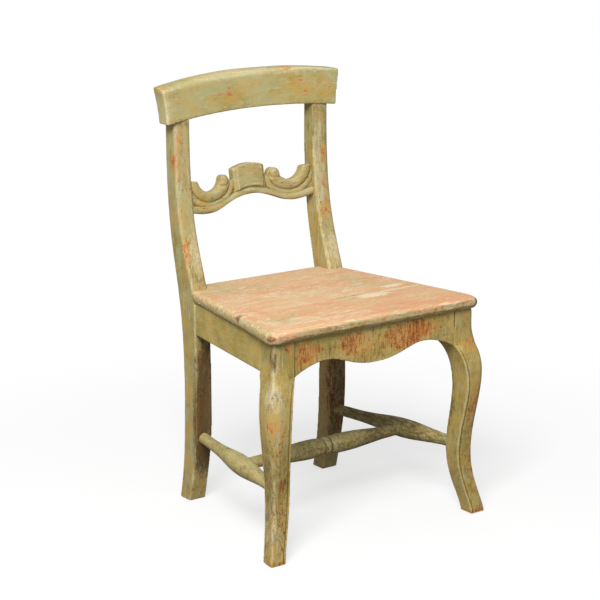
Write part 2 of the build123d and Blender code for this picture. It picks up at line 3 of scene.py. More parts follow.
import bpy
import numpy as np
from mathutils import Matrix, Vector


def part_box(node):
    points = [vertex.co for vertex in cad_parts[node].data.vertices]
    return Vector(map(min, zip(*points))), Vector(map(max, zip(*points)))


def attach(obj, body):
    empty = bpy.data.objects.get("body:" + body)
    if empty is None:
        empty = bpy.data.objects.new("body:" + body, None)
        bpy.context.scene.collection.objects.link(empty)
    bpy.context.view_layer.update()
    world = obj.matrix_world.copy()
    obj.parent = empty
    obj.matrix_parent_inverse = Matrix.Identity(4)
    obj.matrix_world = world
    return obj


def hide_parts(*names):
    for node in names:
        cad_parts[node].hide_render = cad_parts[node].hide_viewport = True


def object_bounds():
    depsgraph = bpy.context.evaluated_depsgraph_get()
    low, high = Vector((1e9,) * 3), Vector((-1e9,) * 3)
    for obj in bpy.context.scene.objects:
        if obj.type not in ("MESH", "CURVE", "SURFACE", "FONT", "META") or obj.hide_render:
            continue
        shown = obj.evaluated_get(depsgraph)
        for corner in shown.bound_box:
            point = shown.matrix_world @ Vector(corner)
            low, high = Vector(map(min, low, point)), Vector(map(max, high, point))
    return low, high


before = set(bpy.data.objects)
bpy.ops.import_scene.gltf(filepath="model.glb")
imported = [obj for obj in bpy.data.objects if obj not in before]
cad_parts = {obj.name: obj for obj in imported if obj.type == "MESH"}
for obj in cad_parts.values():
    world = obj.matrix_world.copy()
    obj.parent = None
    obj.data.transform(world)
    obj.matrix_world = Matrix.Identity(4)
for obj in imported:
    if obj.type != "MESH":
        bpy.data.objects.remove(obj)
cad_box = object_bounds()

# An old painted side chair, in metres: +X is the sitter's left, -Y is the front, +Z is up.
# Each timber is worn round at its arrises and painted green over salmon over wood.

X_AXIS, Y_AXIS, Z_AXIS = 0, 1, 2
APRON_TENON = 0.022                   # length of a tenon, which the apron's box takes in
APRON_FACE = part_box("front_apron")[0].y
BLOCK_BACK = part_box("side_apron_left")[0].y + APRON_TENON
BLOCK_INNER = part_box("front_apron")[1].x - APRON_TENON
BLOCK_WIDTH = 0.0475                  # of the square block at the top of a front leg
SEAT_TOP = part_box("seat_board_front")[1].z
BOARD_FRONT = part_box("seat_board_front")[0].y
BOARD_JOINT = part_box("seat_board_front")[1].y
SEAT_HALF = 0.2195                    # half width of the seat at y = 0
SEAT_TAPER = 0.139                    # half width that it loses per metre towards the back


# ---- Working the timbers --------------------------------------------------------------

MERGE = 0.00001                       # points of the solids this close are one
PEG_REACH = 0.036                     # from a timber to the middle of a peg that pins it
PEG_SINK = 0.88                       # size of a peg under the paint, as a share of its own
RUB = 0.5                             # share that a point gives way by in a pass of rubbing
FULLNESS = 0.0013                     # that makes up for what the wear takes off an arris
ARRIS_PASSES = 14                     # of rubbing, that show how far an arris stands out
ARRIS_COVER = (0.001, 0.006)          # from a joint: an arris is painted over, then bare
PLANING_DEPTH = 0.0006                # of the unevenness that a hand plane leaves
PLANING_SPREAD = 0.035


def deselect():
    """Nothing stays selected, so that an operator acts on one piece alone."""
    for item in bpy.context.selected_objects:
        item.select_set(False)


def take_up(piece):
    """The piece is the only one selected, and the one worked on."""
    deselect()
    piece.select_set(True)
    bpy.context.view_layer.objects.active = piece


def finish_with(piece, kind, **settings):
    """A modifier added to the piece and applied at once."""
    modifier = piece.modifiers.new(kind.title(), kind)
    for setting, value in settings.items():
        setattr(modifier, setting, value)
    take_up(piece)
    bpy.ops.object.modifier_apply(modifier=modifier.name)


def copy_of(node, name):
    """A merged copy of a CAD node's mesh, with no finish yet."""
    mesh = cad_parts[node].data.copy()
    mesh.materials.clear()
    piece = bpy.data.objects.new(name, mesh)
    bpy.context.scene.collection.objects.link(piece)
    take_up(piece)
    bpy.ops.object.mode_set(mode="EDIT")
    bpy.ops.mesh.select_all(action="SELECT")
    bpy.ops.mesh.remove_doubles(threshold=MERGE)
    bpy.ops.object.mode_set(mode="OBJECT")
    return piece


def places_of(piece):
    """The places of the piece's points, as rows."""
    places = np.empty(len(piece.data.vertices) * 3)
    piece.data.vertices.foreach_get("co", places)
    return places.reshape(-1, 3)


def facings_of(piece):
    """The way that the skin faces at each of the piece's points."""
    facings = np.empty(len(piece.data.vertices) * 3)
    piece.data.vertex_normals.foreach_get("vector", facings)
    return facings.reshape(-1, 3)


def set_places(piece, places):
    """Moves the piece's points to new places."""
    piece.data.vertices.foreach_set("co", np.ascontiguousarray(places, float).ravel())
    piece.data.update()


def loose_pegs(node):
    """Copies of the pegs of one CAD node, each a piece of its own."""
    copy_of(node, "peg")
    bpy.ops.object.mode_set(mode="EDIT")
    bpy.ops.mesh.select_all(action="SELECT")
    bpy.ops.mesh.separate(type="LOOSE")
    bpy.ops.object.mode_set(mode="OBJECT")
    return list(bpy.context.selected_objects)


def pegged(piece, node, pegs):
    """Fills the peg holes of a timber, so that the paint runs over the pegs."""
    low, high = [np.array(corner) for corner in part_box(node)]
    plugs = []
    for plug in loose_pegs(pegs):
        places = places_of(plug)
        middle = places.mean(0)
        if (middle > low - PEG_REACH).all() and (middle < high + PEG_REACH).all():
            set_places(plug, np.clip(places, low, high))
            plugs.append(plug)
        else:
            bpy.data.objects.remove(plug)
    take_up(piece)
    for plug in plugs:
        plug.select_set(True)
    bpy.ops.object.join()


def rough_out(node, fineness, pegs=()):
    """A copy of a sawn timber, closed up into an even skin that can be worked."""
    piece = copy_of(node, "worn_" + node)
    for name in pegs:
        pegged(piece, node, name)
    finish_with(piece, "REMESH", mode="VOXEL", voxel_size=fineness, adaptivity=0.0)
    return piece


def sink_pegs(node, finish):
    """Pegs a little smaller than their holes, so that they lie just under the paint."""
    pegs = loose_pegs(node)
    for peg in pegs:
        places = places_of(peg)
        middle = (places.min(0) + places.max(0)) / 2
        set_places(peg, middle + (places - middle) * PEG_SINK)
    take_up(pegs[0])
    for peg in pegs:
        peg.select_set(True)
    bpy.ops.object.join()
    piece = bpy.context.object
    piece.name = "sunk_" + node
    piece.data.materials.append(finish)
    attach(piece, "root")
    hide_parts(node)


def rubbed(piece, places, passes, share):
    """Places after passes of rubbing down; share is how much each point gives way."""
    ends = np.empty(len(piece.data.edges) * 2, int)
    piece.data.edges.foreach_get("vertices", ends)
    first, second = ends.reshape(-1, 2).T
    count = len(places)
    neighbours = np.bincount(first, minlength=count) + np.bincount(second, minlength=count)
    for _ in range(passes):
        total = [
            np.bincount(first, places[second, axis], count)
            + np.bincount(second, places[first, axis], count)
            for axis in (X_AXIS, Y_AXIS, Z_AXIS)
        ]
        level = np.stack(total, 1) / neighbours[:, None]
        places = places + share[:, None] * (level - places)
    return places


def slope(values, low, high):
    """0 below low, 1 above high and a smooth step between them."""
    share = np.clip((values - low) / (high - low), 0, 1)
    return share * share * (3 - 2 * share)


def along_timber(where, values, step, pick):
    """The least or greatest value at each station along a timber, for all its points."""
    station = (where - where.min()) / step
    nearest = np.round(station).astype(int)
    found = [pick(values[nearest == each]) for each in range(nearest.max() + 1)]
    return np.interp(station, range(len(found)), found)


def clear_of(places, joints):
    """0 at the joints' planes, where arrises were painted over, and 1 away from them."""
    share = np.ones(len(places))
    for axis, plane in joints:
        share *= slope(np.abs(places[:, axis] - plane), *ARRIS_COVER)
    return share


def wear(piece, passes, joints, fullness):
    """Rubs the arrises down, then fills the piece out again inside the CAD box, so that
    its outline stays where it was."""
    places = places_of(piece)
    low = np.maximum(places.min(0), cad_box[0])
    high = np.minimum(places.max(0), cad_box[1])
    set_places(piece, rubbed(piece, places, passes, RUB * clear_of(places, joints)))
    places = places_of(piece) + facings_of(piece) * fullness
    set_places(piece, np.clip(places, low, high))


def weather(piece):
    """Shallow unevenness of hand planing, inwards, and never past the CAD box."""
    texture = bpy.data.textures.new(piece.name + "_planing", "CLOUDS")
    texture.noise_scale = PLANING_SPREAD
    texture.noise_depth = 3
    finish_with(
        piece,
        "DISPLACE",
        texture=texture,
        texture_coords="LOCAL",
        strength=PLANING_DEPTH,
        mid_level=1.0,
    )
    set_places(piece, np.clip(places_of(piece), cad_box[0], cad_box[1]))


def mark_arrises(piece, joints):
    """Keeps on each point how far it stands out, in millimetres, for the paint to read.
    Arrises at the joints were painted over."""
    places = places_of(piece)
    level = rubbed(piece, places, ARRIS_PASSES, np.full(len(places), RUB))
    stands_out = np.einsum("ij,ij->i", places - level, facings_of(piece)) * 1000
    stands_out *= np.where(stands_out > 0, clear_of(places, joints), 1)
    layer = piece.data.attributes.new("arris", "FLOAT", "POINT")
    layer.data.foreach_set("value", stands_out.astype(np.float32))


def complete(piece, node, joints, finish):
    """Painted, smooth, riding on the chair and in the place of its CAD node, which is hidden.
    """
    mark_arrises(piece, joints)
    take_up(piece)
    bpy.ops.object.shade_smooth()
    piece.data.materials.append(finish)
    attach(piece, "root")
    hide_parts(node)


# ---- Carving --------------------------------------------------------------------------

FACING = 0.5                          # a face turned this far to an axis faces it


def roll(away, half, height):
    """Height of a half-round roll at a distance from its middle line."""
    return height * np.sqrt(np.clip(1 - (away / half) ** 2, 0, 1))


def cut(away, half, depth):
    """Depth of a soft groove at a distance from its middle line."""
    return depth * np.exp(-((away / half) ** 2))


def gouge(away, half, depth):
    """Depth of a groove with a round bottom and clean edges."""
    return depth * np.clip(1 - (away / half) ** 2, 0, 1)


SPLAT_GROUND = 0.2053                 # y of the splat's ground, on its middle line
SPLAT_PIVOT = 0.601                   # height that it leans about
SPLAT_LEAN = math.radians(7)
SPLAT_CANT = math.radians(1.6)
SPLAT_FINENESS = 0.0010
BACK_RADIUS = 1.2                     # of the hollow that the back was sawn to
STANDS_PROUD = 0.0003                 # all that is this far before the ground is carved
CARVED_DEPTH = 0.002                  # behind the ground, what faces the front is carved

MOULDING = 0.015                      # width of the band along the lower edge
MOULDING_ROLL = (0.0080, 0.0062)      # half width and height of the roll on it
LOBE = 0.100                          # from the middle to the lowest points
ARCH_HALF = 0.013                     # half of what the edge rises from there to the middle
ARCH_SLOPE = 0.13056 * math.pi        # of the edge, where it is steepest
END_RISE = 0.008                      # of the edge, at END_REACH beyond its lowest points
END_REACH = 0.056
SCROLL_MIDDLE = (0.100, 0.074)
SCROLL_RADIUS = 0.0385                # to the middle of the scroll's roll
SCROLL_OUTER = 0.0125                 # half widths of that roll, outside and inside
SCROLL_INNER = 0.0092
SCROLL_HEIGHT = 0.0078
SCROLL_OPENING = 0.0040               # that the scroll opens out by before its curl
SCROLL_STOP = (-0.026, -0.014)        # up from its middle: whole, then gone at the curl
RIB_AWAY = 0.0185                     # from the scroll's roll to the low rib outside it
RIB = (0.0065, 0.0030)                # its half width and height
CURL_MIDDLE = (0.0645, 0.0605)
CURL_REACH = 0.0124                   # radius and height of the dome that is the curl
CURL_HEIGHT = 0.0092
CURL_EYE = (0.0030, 0.0014)           # half width and depth of the dimple in its middle
TUCK_MIDDLE = (0.078, 0.071)          # of the round groove that hooks the curl
TUCK_RADIUS = 0.0125
TUCK = (0.0012, 0.0016)               # its half width and depth
TABLET_HALF = 0.0385                  # half width of the tablet, and of its flat middle
TABLET_FLAT = 0.030
TABLET_HEIGHT = 0.0085
TABLET_FALL = 0.0060                  # from the flat middle to the edges
TABLET_HOLLOW = 0.6                   # power of that fall, steepest next to the flat
TABLET_GROOVE = (0.0014, 0.0032)      # half width and depth, where it meets the moulding
TABLET_GROOVE_UP = 0.0005             # of that groove, above the moulding


def splat_frame():
    """The splat's own frame, its origin at its lowest point, as rows to and from it."""
    lean = np.array([
        [1, 0, 0],
        [0, math.cos(SPLAT_LEAN), math.sin(SPLAT_LEAN)],
        [0, -math.sin(SPLAT_LEAN), math.cos(SPLAT_LEAN)],
    ])
    cant = np.array([
        [math.cos(SPLAT_CANT), 0, -math.sin(SPLAT_CANT)],
        [0, 1, 0],
        [math.sin(SPLAT_CANT), 0, math.cos(SPLAT_CANT)],
    ])
    origin = np.array([0, SPLAT_GROUND, SPLAT_PIVOT]) - lean @ [0, 0, MOULDING]
    return lean @ cant, origin


def scroll_relief(side, up):
    """The rolled scroll, with a low rib outside it."""
    over, above = side - SCROLL_MIDDLE[0], up - SCROLL_MIDDLE[1]
    opening = SCROLL_OPENING * np.clip(-over / SCROLL_RADIUS, 0, 1) ** 2
    away = np.hypot(over, above) - SCROLL_RADIUS - opening
    half = np.where(away > 0, SCROLL_OUTER, SCROLL_INNER)
    ring = np.maximum(roll(away, half, SCROLL_HEIGHT), roll(away - RIB_AWAY, *RIB))
    return ring * np.where(over < 0, 1 - slope(above, *SCROLL_STOP), 1)


def curl_relief(side, up):
    """The domed curl that a scroll ends in, dimpled and hooked."""
    away = np.hypot(side - CURL_MIDDLE[0], up - CURL_MIDDLE[1])
    dome = roll(away, CURL_REACH, CURL_HEIGHT) - cut(away, *CURL_EYE)
    tuck = np.hypot(side - TUCK_MIDDLE[0], up - TUCK_MIDDLE[1]) - TUCK_RADIUS
    return dome - cut(tuck, *TUCK) * (away < CURL_REACH)


def tablet_relief(side, above, square_to_edge):
    """The tablet that stands on the middle of the moulding, with hollowed sides."""
    flank = np.clip((side - TABLET_FLAT) / (TABLET_HALF - TABLET_FLAT), 0, 1)
    block = TABLET_HEIGHT - TABLET_FALL * flank**TABLET_HOLLOW
    groove = cut((above - TABLET_GROOVE_UP) * square_to_edge, *TABLET_GROOVE)
    return np.where((side < TABLET_HALF) & (above > 0), block - groove, 0)


def splat_relief(across, up):
    """How far the carving stands in front of the splat's ground."""
    side = np.abs(across)
    swing = np.pi * np.clip(side / LOBE, 0, 1)
    end = END_RISE * (np.clip(side - LOBE, 0, None) / END_REACH) ** 2
    edge = ARCH_HALF * (1 + np.cos(swing)) + end
    square_to_edge = 1 / np.sqrt(1 + (ARCH_SLOPE * np.sin(swing)) ** 2)
    return np.maximum.reduce([
        roll((up - edge - MOULDING / 2) * square_to_edge, *MOULDING_ROLL),
        scroll_relief(side, up),
        curl_relief(side, up),
        tablet_relief(side, up - edge - MOULDING, square_to_edge),
    ])


def carve_splat(piece):
    """Cuts the moulding, the rolled scrolls, the curls and the tablet."""
    turn, origin = splat_frame()
    local = (places_of(piece) - origin) @ turn
    ahead = (facings_of(piece) @ turn)[:, 1] < -FACING
    face = np.sqrt(BACK_RADIUS**2 - local[:, 0] ** 2) - BACK_RADIUS
    behind = local[:, 1] - face
    relief = splat_relief(local[:, 0], local[:, 2])
    worked = (behind < -STANDS_PROUD) | (ahead & (behind < CARVED_DEPTH))
    local[:, 1] = np.where(worked, face - relief, local[:, 1])
    set_places(piece, local @ turn.T + origin)
    finish_with(piece, "REMESH", mode="VOXEL", voxel_size=SPLAT_FINENESS, adaptivity=0.0)


QUIRK_TOP = 0.352                     # just under the leg's square block
QUIRK_FADE = 0.014
QUIRK_STRIP = 0.0060                  # width of the strip that the groove leaves
QUIRK = (0.0024, 0.0016)              # its half width and depth
QUIRK_FACING = 0.6                    # only a face turned this far to an axis is cut
QUIRK_STEP = 0.004                    # between the stations where a leg's edge is found


def cut_quirk(piece):
    """A fine groove down the inner edge of the leg's front face and the back of its side."""
    places, facings = places_of(piece), facings_of(piece)
    outward = np.sign(places[:, 0].mean())
    across, deep, height = places[:, 0] * outward, places[:, 1], places[:, 2]
    inner = along_timber(height, across, QUIRK_STEP, np.min)
    back = along_timber(height, deep, QUIRK_STEP, np.max)
    fade = slope(QUIRK_TOP - height, 0, QUIRK_FADE)
    front = gouge(across - inner - QUIRK_STRIP, *QUIRK) * fade
    places[:, 1] += front * (facings[:, 1] < -QUIRK_FACING)
    side = gouge(back - deep - QUIRK_STRIP, *QUIRK) * fade
    places[:, 0] -= outward * side * (facings[:, 0] * outward > QUIRK_FACING)
    set_places(piece, places)


SHOULDER = (0.318, 0.385)             # the curve grows out of the block between these
SHOULDER_LEAN = -0.22                 # slope of the leg's outline at the lower one
SHOULDER_STEP = 0.002                 # between the stations where that outline is found
SIDE_GROWS = (0.006, 0.046)           # from the block's inner face: none, then in full
FRONT_GROWS = (0.0, 0.02)
BLOCK_ROUNDING = 60                   # passes at the block's outer corner
ROUNDED = (0.008, 0.020)              # from that corner: in full, then none
ROUNDED_FROM = (0.330, 0.350)         # height: none, then in full


def grown(height, outline):
    """How far the outline has to come out to flow into the square block."""
    low, high = SHOULDER
    bottom, top = [outline[np.abs(height - level).argmin()] for level in SHOULDER]
    rise = np.clip((height - low) / (high - low), 0, 1)
    flowing = top + (bottom - top) * (2 * rise**3 - 3 * rise**2 + 1)
    flowing += SHOULDER_LEAN * (high - low) * rise * (1 - rise) ** 2
    return np.where((height > low) & (height < high), np.clip(flowing - outline, 0, None), 0)


def shape_leg(piece):
    """Lets the curve grow out of the square block, and rounds the block's outer corner."""
    places = places_of(piece)
    outward = np.sign(places[:, 0].mean())
    across, ahead, height = places[:, 0] * outward, -places[:, 1], places[:, 2]
    sideways = grown(height, along_timber(height, across, SHOULDER_STEP, np.max))
    forward = grown(height, along_timber(height, ahead, SHOULDER_STEP, np.max))
    inward = across - BLOCK_INNER
    front = slope(inward, *FRONT_GROWS) * slope(ahead, -BLOCK_BACK, -APRON_FACE)
    places[:, 0] += outward * sideways * slope(inward, *SIDE_GROWS)
    places[:, 1] -= forward * front
    away = np.hypot(inward - BLOCK_WIDTH, ahead + APRON_FACE)
    share = RUB * (1 - slope(away, *ROUNDED)) * slope(height, *ROUNDED_FROM)
    set_places(piece, rubbed(piece, places, BLOCK_ROUNDING, share))


BEAD = (0.0055, 0.0010)               # half width and rise of the cross stretcher's bead
BEAD_GROOVE = 0.0085                  # from its middle to the groove on each side
BEAD_CUT = (0.0018, 0.0022)           # half width and depth of the groove
BEAD_CORE = 0.004                     # radius, inside which the wood moves less


def turn_bead(piece):
    """Turns the bead crisp, with a groove on each side of it."""
    places = places_of(piece)
    middle = (places.min(0) + places.max(0)) / 2
    across = np.abs(places[:, 0] - middle[0])
    change = roll(across, *BEAD) - cut(across - BEAD_GROOVE, *BEAD_CUT)
    radial = places[:, 1:] - middle[1:]
    radius = np.hypot(radial[:, 0], radial[:, 1])
    places[:, 1:] += radial * (change / np.clip(radius, BEAD_CORE, None))[:, None]
    set_places(piece, places)


CREST_SQUARE = (0.07, 0.19)           # x: the rail's roll is whole, then squared
CREST_ROLL = (0.017, 0.012)           # depth and height of the roll
CREST_STEP = 0.006                    # between the stations where the rail's edge is found
CREST_BAND = 0.03                     # under the top, where the rail's front is found
CREST_MARGIN = 0.02                   # share of the roll that stays as it is at its ends
CREST_POWER = 7                       # that squares the roll; 0 leaves it round
CREST_GROWTH = 1.35                   # that the roll is filled out by at most


def square_crest(piece):
    """Fills the roll of the crest rail towards its right end, where it dies out."""
    places = places_of(piece)
    across, deep, height = places.T
    top = along_timber(across, height, CREST_STEP, np.max)
    upper = np.where(height > top - CREST_BAND, deep, 1)
    front = along_timber(across, upper, CREST_STEP, np.min)
    inward = 1 - (deep - front) / CREST_ROLL[0]
    upward = 1 - (top - height) / CREST_ROLL[1]
    rolled = np.minimum(inward, upward) > CREST_MARGIN
    rolled &= np.maximum(inward, upward) < 1 + CREST_MARGIN
    power = 2 + CREST_POWER * slope(across, *CREST_SQUARE)
    round_way = np.hypot(inward, upward)
    square_way = (np.abs(inward) ** power + np.abs(upward) ** power) ** (1 / power)
    grow = np.where(rolled, round_way / np.where(rolled, square_way, 1), 1)
    grow = np.clip(grow, 1, CREST_GROWTH)
    places[:, 1] = np.where(rolled, front + CREST_ROLL[0] * (1 - inward * grow), deep)
    places[:, 2] = np.where(rolled, top - CREST_ROLL[1] * (1 - upward * grow), height)
    set_places(piece, places)


JOINT_WANDERS = ((0.0012, 160, 0), (0.0008, 410, 1))   # sway, pace along x and start
CRACK = (-0.216, -0.186)              # x: open, then shut
CRACK_WIDE = (0.0004, 0.0030)         # from its middle line: in full, then none
CRACK_DEPTH = 0.0045
RIDGE = (0.050, 0.100)                # x: none, then in full
RIDGE_END = (0.170, 0.200)            # x: in full, then none
RIDGE_WIDE = (0.001, 0.008)
RIDGE_HEIGHT = 0.0011
RIDGE_PACE = 90                       # of the patches that are filled higher


def work_joint(piece):
    """The joint of the boards: open as a crack at the left end, filled up at the right."""
    places, facings = places_of(piece), facings_of(piece)
    across, deep = places[:, 0], places[:, 1]
    wander = sum(sway * np.sin(across * pace + start) for sway, pace, start in JOINT_WANDERS)
    patchy = 0.6 + 0.4 * np.sin(across * RIDGE_PACE)
    away = np.abs(deep - BOARD_JOINT - wander)
    crack = (1 - slope(away, *CRACK_WIDE)) * (1 - slope(across, *CRACK))
    filled = slope(across, *RIDGE) * (1 - slope(across, *RIDGE_END))
    ridge = (1 - slope(away, *RIDGE_WIDE)) * filled * patchy
    up = facings[:, 2] > FACING
    places[:, 2] += up * (RIDGE_HEIGHT * ridge - CRACK_DEPTH * crack)
    set_places(piece, places)


RIM_REACH = 0.012                     # of the easing under the seat's edge
RIM_LIFT = 0.005
RIM_UNDER = (0.020, 0.004)            # under the seat's top: eased in full, then not
RIM_SIDE = (0.005, 0.070)             # from the seat's left side: not eased, then in full
CORNER_FLARE = 0.0045                 # of the front corner on the sitter's right
FLARE_SIDE = (0.10, 0.24)             # -x and -y: no flare, then in full
FLARE_FRONT = (0.09, 0.22)
WORN_CORNERS = ((-0.252, -0.228), (0.252, -0.228))
CORNER_REACH = 0.045                  # of the wear round a front corner
CORNER_WEAR = 0.0024
CORNER_UNDER = 0.016                  # under the seat's top, where that wear ends


def thin_rim(piece):
    """Eases the seat's edge away underneath, so that it looks thinner than the board."""
    places = places_of(piece)
    across, deep, height = places.T
    half = SEAT_HALF - SEAT_TAPER * deep
    inward = np.minimum(half - np.abs(across), deep - BOARD_FRONT)
    under = 1 - slope(height, SEAT_TOP - RIM_UNDER[0], SEAT_TOP - RIM_UNDER[1])
    thinner = RIM_LIFT * slope(half + across, *RIM_SIDE)
    places[:, 2] += thinner * under * (1 - slope(inward, 0, RIM_REACH))
    set_places(piece, places)


def shape_rear_board(piece):
    """Thins the edge, then works the joint."""
    thin_rim(piece)
    work_joint(piece)


def shape_front_board(piece):
    """Thins the edge, flares one front corner, rubs both down and works the joint."""
    thin_rim(piece)
    places = places_of(piece)
    flare = slope(-places[:, 0], *FLARE_SIDE) * slope(-places[:, 1], *FLARE_FRONT)
    places[:, 0] -= CORNER_FLARE * flare
    top = slope(places[:, 2], SEAT_TOP - CORNER_UNDER, SEAT_TOP)
    for corner in WORN_CORNERS:
        away = np.hypot(places[:, 0] - corner[0], places[:, 1] - corner[1])
        places[:, 2] -= CORNER_WEAR * top * (1 - slope(away, 0, CORNER_REACH))
    set_places(piece, places)
    work_joint(piece)


# ---- Paint ----------------------------------------------------------------------------

def shade(red, green, blue):
    """A colour as it is mixed for the eye, as the linear colour that the nodes take."""
    return [
        value / 255 / 12.92 if value <= 10 else ((value / 255 + 0.055) / 1.055) ** 2.4
        for value in (red, green, blue)
    ] + [1.0]


class Tone:
    """A value that varies over the paint, for sums written as plain arithmetic."""

    def __init__(self, nodes, socket):
        self.nodes = nodes
        self.socket = socket

    def sum(self, operation, first, second=0.0):
        """One sum on values or numbers, as a node."""
        return self.nodes.add("ShaderNodeMath", {"operation": operation}, {0: first, 1: second})

    def __add__(self, other):
        return self.sum("ADD", self, other)

    __radd__ = __add__

    def __sub__(self, other):
        return self.sum("SUBTRACT", self, other)

    def __rsub__(self, other):
        return self.sum("SUBTRACT", other, self)

    def __mul__(self, other):
        return self.sum("MULTIPLY", self, other)

    __rmul__ = __mul__

    def __neg__(self):
        return self.sum("SUBTRACT", 0.0, self)

    def __abs__(self):
        return self.sum("ABSOLUTE", self)

    def least(self, other):
        return self.sum("MINIMUM", self, other)

    def between(self, low, high):
        """0 below low, 1 above high and a smooth step between them."""
        return self.nodes.add(
            "ShaderNodeMapRange",
            {"interpolation_type": "SMOOTHSTEP"},
            {"Value": self, "From Min": low, "From Max": high},
        )


class Nodes:
    """The nodes of a material or of the air round the chair, added one by one."""

    def __init__(self, owner):
        owner.use_nodes = True
        self.tree = owner.node_tree
        self.tree.nodes.clear()

    def add(self, kind, settings, sockets, output=0):
        """A node with its settings first, then the values or links of its sockets."""
        node = self.tree.nodes.new(kind)
        for setting, value in settings.items():
            setattr(node, setting, value)
        for name, value in sockets.items():
            if isinstance(value, Tone):
                self.tree.links.new(value.socket, node.inputs[name])
            else:
                node.inputs[name].default_value = value
        return Tone(self, node.outputs[output])

    def end_with(self, shader, kind="ShaderNodeOutputMaterial"):
        """The shader becomes the surface of what has these nodes."""
        output = self.tree.nodes.new(kind)
        self.tree.links.new(shader.socket, output.inputs["Surface"])


class Paint(Nodes):
    """A paint finish, built up coat by coat."""

    def __init__(self, name):
        self.material = bpy.data.materials.new(name)
        super().__init__(self.material)
        self.place = self.add("ShaderNodeTexCoord", {}, {}, "Object")
        self.arris = self.add("ShaderNodeAttribute", {"attribute_name": "arris"}, {}, "Fac")

    def stretched(self, scale, start=(0, 0, 0)):
        """The place on the chair, drawn out along the grain or the brush."""
        return self.add(
            "ShaderNodeMapping",
            {},
            {"Vector": self.place, "Scale": scale, "Location": start},
        )

    def clouds(self, scale, detail=4.0, start=(0, 0, 0), rough=0.55, warp=0.0):
        """Soft uneven patches, about 0 to 1."""
        return self.add(
            "ShaderNodeTexNoise",
            {"noise_dimensions": "3D"},
            {
                "Vector": self.stretched(scale, start),
                "Scale": 1.0,
                "Detail": detail,
                "Roughness": rough,
                "Distortion": warp,
            },
        )

    def near(self, middle, reach):
        """1 at a place on the chair, falling to 0 at the reach along each axis."""
        scale = [1 / size for size in reach]
        start = [-place / size for place, size in zip(middle, reach)]
        away = self.add(
            "ShaderNodeVectorMath",
            {"operation": "LENGTH"},
            {0: self.stretched(scale, start)},
            "Value",
        )
        return 1.0 - away.between(0.35, 1.0)

    def marks(self, places):
        """All the places of one kind of wear, dirt or painted shade, as (middle, reach,
        weight), added up.
        """
        total = 0.0
        for middle, reach, weight in places:
            total = total + self.near(middle, reach) * weight
        return total

    def over(self, under, colour, cover):
        """A coat of colour over another, as far as it covers."""
        mix = {"data_type": "RGBA", "blend_type": "MIX"}
        return self.add("ShaderNodeMix", mix, {0: cover, 6: under, 7: colour}, 2)

    def glaze(self, under, colour, cover):
        """A thin glaze that darkens what lies under it, as dirt and as painted shade."""
        mix = {"data_type": "RGBA", "blend_type": "MULTIPLY"}
        return self.add("ShaderNodeMix", mix, {0: cover, 6: under, 7: colour}, 2)

    def dry(self, colour, roughness, height, depth):
        """Ends the finish: colour, roughness and the paint's own relief in metres."""
        bump = self.add(
            "ShaderNodeBump", {}, {"Height": height, "Distance": depth, "Strength": 1.0}
        )
        surface = self.add(
            "ShaderNodeBsdfPrincipled",
            {},
            {
                "Base Color": colour,
                "Roughness": roughness,
                "Normal": bump,
                "Specular IOR Level": 0.35,
            },
        )
        self.end_with(surface)
        return self.material


WOOD = shade(84, 56, 32)
AGED_WOOD = shade(140, 102, 64)
SALMON = shade(220, 150, 90)
ORANGE = shade(190, 104, 42)
CREAM = shade(222, 212, 174)
SAGE = shade(193, 178, 120)
GREEN = shade(185, 164, 110)
MOSS = shade(204, 176, 100)
FERN = shade(192, 162, 92)
GOLD = shade(193, 159, 76)
LICHEN = shade(176, 176, 128)
OLIVE = shade(148, 133, 60)
# Brown of dirt, also laid as painted shade in the hollows and under the seat.
GRIME_AND_SHADE = shade(110, 78, 40)
SEAT_PINK = shade(225, 164, 119)      # the seat's own coats, from the lowest up
SEAT_TAN = shade(228, 193, 148)
SEAT_RUST = shade(212, 140, 94)
SEAT_GREEN = shade(200, 184, 132)
SEAT_PALE = shade(240, 226, 190)
SEAT_GRIME = shade(120, 70, 42)
PAINT_DEPTH = 0.0006                  # of the relief of the brush marks and chips
GRAIN_DEPTH = 0.0004
RIM_LOST = 0.012                      # width of the seat's green rim, gone at the front


def drawn_out(axis, along, across):
    """A pattern's scale along one axis and across it."""
    return [along if each == axis else across for each in (X_AXIS, Y_AXIS, Z_AXIS)]


